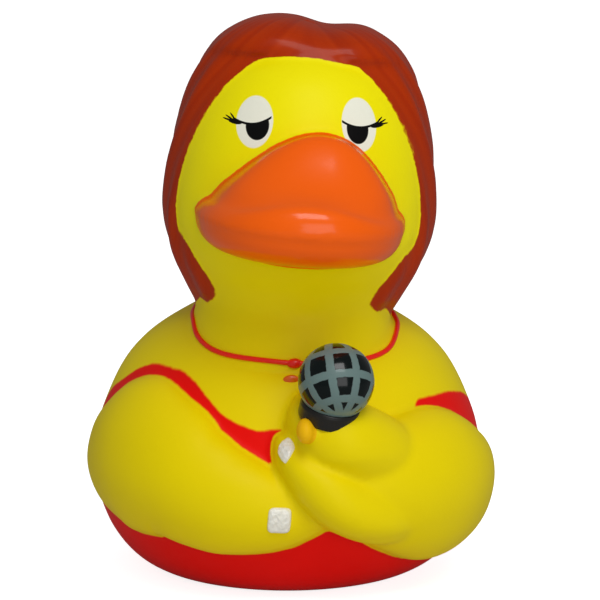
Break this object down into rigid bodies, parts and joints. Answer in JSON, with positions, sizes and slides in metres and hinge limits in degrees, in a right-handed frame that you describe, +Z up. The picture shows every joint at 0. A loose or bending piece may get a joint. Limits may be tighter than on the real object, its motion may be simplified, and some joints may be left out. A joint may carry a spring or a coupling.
{
  "type": "rubber duck",
  "caption": "Soft vinyl rubber duck dressed as a singer, with long auburn hair, a red dress and a ball microphone held in its wings",
  "frame": {"origin": "middle of the flat base, on the surface it stands on", "axes": "+Z up, the bill points along -Y, +X is the duck's left"},
  "size_m": [0.068, 0.0872, 0.093],
  "materials": {
    "vinyl_yellow": "soft satin vinyl, yellow through its thickness, spray-painted on the bill, hair, dress and microphone"
  },
  "bodies": {
    "root": {"duck_shell": "vinyl_yellow"}
  },
  "joints": []
}
